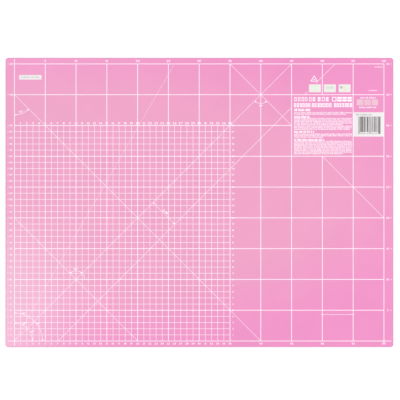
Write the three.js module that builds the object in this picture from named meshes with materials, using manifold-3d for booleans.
// Self-healing cutting mat, lying flat with its printed side up.
//
// The mat is a die-cut laminate of five vinyl plies. Two soft skins close up again
// behind the blade, and a stiffer core of three plies between them stops it. White ink
// is screened on the upper skin: a 50 mm grid with its angle guides as one connected
// film, and five filled panels. Ink and plies are bonded face to face, so neighbouring
// solids share a plane and nothing in the mat moves.
//
// Frame: millimetres, +Z up, X along the long side. The origin is the middle of the face
// that the mat rests on.

import * as THREE from 'three';
import { mergeVertices } from 'three/addons/utils/BufferGeometryUtils.js';
import Module from 'manifold-3d';

const wasm = await Module();
wasm.setup();

// ---- Driving dimensions, in millimetres ----

const MAT_LENGTH = 630;
const MAT_WIDTH = 470;
const CORNER_RADIUS = 4.5;
const EDGE_ROUNDING = 0.5; // of the upper and lower edges all round
const SKIN = 0.75;
const STIFF_PLY = 0.5;
const CENTRE_PLY = 0.5;

const CM = 10; // the unit of the printed scales
const GRID_STEP = 5; // all printed positions below are in centimetres along the scales
const GRID_LENGTH = 60;
const GRID_WIDTH = 45;
const GRID_LEFT = -300.5; // the print sits half a millimetre off the mat's middle
const GRID_BOTTOM = -225;

const INK = 0.0625; // thickness of the ink film
const GRID_LINE = 1;
const ANGLE_LINE = 0.5;
const HAIR_LINE = 0.28; // the 60 degree guide is the finest line of the film
const ARC_LINE = 0.6;
const SHAFT_LINE = 0.45;

const CORNER_SEGMENTS = 6;
const ROUNDING_SEGMENTS = 3;
const ARC_SEGMENTS = 8;
const CUT_MARGIN = 5; // how far a cutting slab runs past the mat
const WALL_HEIGHT = 2;
const WALL_STEP = 0.01;

// ---- Materials ----

function vinyl(color, roughness) {
  return new THREE.MeshStandardMaterial({ color, roughness, metalness: 0 });
}

const MATERIALS = {
  skin: vinyl(0xf2a4cb, 0.55),
  core: vinyl(0xf6cfe0, 0.6),
  centre: vinyl(0xf4eef0, 0.6),
  ink: vinyl(0xfff2f8, 0.5),
  panel: vinyl(0xfafaf6, 0.45),
};

// The plies from the resting face up.
const PLIES = [
  { name: 'bottom_skin', thickness: SKIN, material: 'skin' },
  { name: 'lower_core_ply', thickness: STIFF_PLY, material: 'core' },
  { name: 'centre_core_ply', thickness: CENTRE_PLY, material: 'centre' },
  { name: 'upper_core_ply', thickness: STIFF_PLY, material: 'core' },
  { name: 'top_skin', thickness: SKIN, material: 'skin' },
];
const MAT_THICKNESS = PLIES.reduce((sum, ply) => sum + ply.thickness, 0);

// ---- Printed figures, in centimetres from the grid's lower left corner ----

// The cell block kept free for the printed notes, and the height of its missing line.
const NOTES = { left: 45, right: 55, bottom: 30, top: 40 };
const NOTES_MIDDLE_X = 50;
const NOTES_MIDDLE_Y = 35;

// How far three outer lines run on into the margins.
const OVERRUN = { left: 1.15, right: 1.2, bottom: 0.7, top: 0.75, corner: 0.35 };

// The parallel pair of 45 degree lines is 5 cm apart, so the second starts here.
const PARALLEL_START = 5 * Math.SQRT2;
// Where the second line is broken for the notes, the first tip panel and its sign.
const PARALLEL_BREAKS = [NOTES.left, NOTES.top + PARALLEL_START, 47.6, 48.9];

const ANGLE_LINES = [
  { from: [0, 40], to: [40, 0] },
  { from: [0, 20], to: [20, 0] },
  { from: [0, 0], to: [GRID_WIDTH, GRID_WIDTH] },
  { from: [PARALLEL_START, 0], to: onParallel(PARALLEL_BREAKS[0]) },
  { from: onParallel(PARALLEL_BREAKS[1]), to: onParallel(PARALLEL_BREAKS[2]) },
  { from: onParallel(PARALLEL_BREAKS[3]), to: [GRID_WIDTH + PARALLEL_START, GRID_WIDTH] },
  { from: [35, 45], to: [45, 35] },
  { from: [50, 30], to: [60, 20] },
];
const SIXTY_LINE = { from: [0, 0], to: [GRID_WIDTH / Math.tan(Math.PI / 3), GRID_WIDTH] };

// The arrow shaft that dimensions the parallel pair.
const GAP_SHAFT = { from: [22.5, 22.5], to: [22.5 + PARALLEL_START / 2, 22.5 - PARALLEL_START / 2] };

// Arcs that mark the angles, with their ends in degrees from the long side.
const ANGLE_ARCS = [
  { centre: [0, 0], radius: 2.9, start: 0, end: 90 },
  { centre: [0, 0], radius: 4.55, start: 0, end: 90 },
  { centre: [0, 40], radius: 3.28, start: -90, end: -45 },
  { centre: [10, 10], radius: 1.4, start: 0, end: 135 },
  { centre: [40, 40], radius: 1.42, start: -135, end: -45 },
];

const PANEL_EDGE = GRID_LINE / 2 / CM; // the code panel fills its cell up to the grid's ink
const PANELS = [
  { name: 'name_panel', left: 0.75, bottom: 42.45, right: 4.4, top: 43.2 },
  { name: 'tip_panel_1', left: 47.83, bottom: 40.4, right: 49.77, top: 41.68 },
  { name: 'tip_panel_2', left: 50.25, bottom: 40.4, right: 52.19, top: 41.68 },
  { name: 'tip_panel_3', left: 52.65, bottom: 40.4, right: 54.59, top: 41.68 },
  { name: 'code_panel', left: 55 + PANEL_EDGE, bottom: 33.2, right: 60 - PANEL_EDGE, top: 37.15 },
];

function onParallel(x) {
  return [x, x - PARALLEL_START];
}

function printPoint([x, y]) {
  return new THREE.Vector2(GRID_LEFT + x * CM, GRID_BOTTOM + y * CM);
}

// ---- Solids ----

function toSolid(geometry) {
  geometry.deleteAttribute('normal');
  geometry.deleteAttribute('uv');
  const merged = mergeVertices(geometry);
  return new wasm.Manifold(new wasm.Mesh({
    numProp: 3,
    vertProperties: merged.attributes.position.array,
    triVerts: Uint32Array.from(merged.index.array),
  }));
}

function toGeometry(solid) {
  const mesh = solid.getMesh();
  const geometry = new THREE.BufferGeometry();
  geometry.setAttribute('position', new THREE.BufferAttribute(mesh.vertProperties, 3));
  geometry.setIndex(new THREE.BufferAttribute(mesh.triVerts, 1));
  return geometry;
}

function join(solids) {
  return solids.reduce((whole, solid) => whole.add(solid));
}

function roundedOutline(length, width, radius) {
  const x = length / 2 - radius;
  const y = width / 2 - radius;
  const outline = new THREE.Shape();
  outline.absarc(x, y, radius, 0, Math.PI / 2, false);
  outline.absarc(-x, y, radius, Math.PI / 2, Math.PI, false);
  outline.absarc(-x, -y, radius, Math.PI, Math.PI * 1.5, false);
  outline.absarc(x, -y, radius, Math.PI * 1.5, Math.PI * 2, false);
  return outline;
}

// The whole laminate as it leaves the die, with its eased edges.
function matBlank() {
  const outline = roundedOutline(
    MAT_LENGTH - 2 * EDGE_ROUNDING,
    MAT_WIDTH - 2 * EDGE_ROUNDING,
    CORNER_RADIUS - EDGE_ROUNDING,
  );
  const blank = new THREE.ExtrudeGeometry(outline, {
    depth: MAT_THICKNESS - 2 * EDGE_ROUNDING,
    bevelThickness: EDGE_ROUNDING,
    bevelSize: EDGE_ROUNDING,
    bevelSegments: ROUNDING_SEGMENTS,
    curveSegments: CORNER_SEGMENTS,
  });
  blank.translate(0, 0, EDGE_ROUNDING);
  return toSolid(blank);
}

// Everything between two heights, to slice a solid with.
function slab(low, high) {
  const box = new THREE.BoxGeometry(
    MAT_LENGTH + 2 * CUT_MARGIN,
    MAT_WIDTH + 2 * CUT_MARGIN,
    high - low,
  );
  box.translate(0, 0, (low + high) / 2);
  return toSolid(box);
}

// One ply is the slice of the blank between two heights. The slab runs past the blank's
// own faces, so that it only cuts where two plies meet.
function plySolid(blank, low, high) {
  const bottom = low === 0 ? -CUT_MARGIN : low;
  const top = high === MAT_THICKNESS ? MAT_THICKNESS + CUT_MARGIN : high;
  return blank.intersect(slab(bottom, top));
}

// The film is sliced from upright walls that follow its strokes. Each wall is a little
// taller than the one before, so that crossing walls never share a level face.
let wallHeight = WALL_HEIGHT;

function nextWallHeight() {
  wallHeight += WALL_STEP;
  return wallHeight;
}

// The wall under a straight line of ink between two printed points.
function lineWall(from, to, width) {
  const start = printPoint(from);
  const end = printPoint(to);
  const run = end.clone().sub(start);
  const wall = new THREE.BoxGeometry(run.length(), width, nextWallHeight());
  wall.rotateZ(run.angle());
  wall.translate((start.x + end.x) / 2, (start.y + end.y) / 2, MAT_THICKNESS);
  return toSolid(wall);
}

// The wall under an arc of ink about a printed point.
function arcWall({ centre, radius, start, end }) {
  const middle = printPoint(centre);
  const from = THREE.MathUtils.degToRad(start);
  const to = THREE.MathUtils.degToRad(end);
  const tall = nextWallHeight();
  const band = new THREE.Shape();
  band.absarc(0, 0, radius * CM + ARC_LINE / 2, from, to, false);
  band.absarc(0, 0, radius * CM - ARC_LINE / 2, to, from, true);
  const wall = new THREE.ExtrudeGeometry(band, {
    depth: tall,
    bevelEnabled: false,
    curveSegments: ARC_SEGMENTS,
  });
  wall.translate(middle.x, middle.y, MAT_THICKNESS - tall / 2);
  return toSolid(wall);
}

// The upright and level lines of the 50 mm grid, with their gaps and overruns.
function gridLines() {
  const lines = [];
  for (let x = GRID_STEP; x < GRID_LENGTH; x += GRID_STEP) {
    const broken = x === NOTES_MIDDLE_X;
    lines.push(lineWall([x, 0], [x, broken ? NOTES.bottom : GRID_WIDTH], GRID_LINE));
    if (broken) {
      lines.push(lineWall([x, NOTES.top], [x, GRID_WIDTH], GRID_LINE));
    }
  }
  for (let y = GRID_STEP; y <= GRID_WIDTH; y += GRID_STEP) {
    const end = y === NOTES_MIDDLE_Y ? NOTES.left : GRID_LENGTH;
    lines.push(lineWall([0, y], [end, y], GRID_LINE));
  }
  lines.push(lineWall([0, -OVERRUN.bottom], [0, GRID_WIDTH + OVERRUN.top], GRID_LINE));
  lines.push(lineWall([GRID_LENGTH, -OVERRUN.corner], [GRID_LENGTH, GRID_WIDTH + PANEL_EDGE], GRID_LINE));
  lines.push(lineWall([-OVERRUN.left, 0], [GRID_LENGTH + OVERRUN.right, 0], GRID_LINE));
  return lines;
}

function gridFilm() {
  const walls = join([
    ...gridLines(),
    ...ANGLE_LINES.map(({ from, to }) => lineWall(from, to, ANGLE_LINE)),
    lineWall(SIXTY_LINE.from, SIXTY_LINE.to, HAIR_LINE),
    lineWall(GAP_SHAFT.from, GAP_SHAFT.to, SHAFT_LINE),
    ...ANGLE_ARCS.map(arcWall),
  ]);
  return walls.intersect(slab(MAT_THICKNESS, MAT_THICKNESS + INK));
}

function panelGeometry({ left, bottom, right, top }) {
  const low = printPoint([left, bottom]);
  const high = printPoint([right, top]);
  const panel = new THREE.BoxGeometry(high.x - low.x, high.y - low.y, INK);
  panel.translate((low.x + high.x) / 2, (low.y + high.y) / 2, MAT_THICKNESS + INK / 2);
  return panel;
}

// ---- Assembly ----

const mat = new THREE.Group();

function addPiece(name, geometry, material) {
  const piece = new THREE.Mesh(geometry, MATERIALS[material].clone());
  piece.name = name;
  mat.add(piece);
}

const blank = matBlank();
let height = 0;
for (const { name, thickness, material } of PLIES) {
  addPiece(name, toGeometry(plySolid(blank, height, height + thickness)), material);
  height += thickness;
}
addPiece('grid_print', toGeometry(gridFilm()), 'ink');
for (const panel of PANELS) {
  addPiece(panel.name, panelGeometry(panel), 'panel');
}

export default mat;
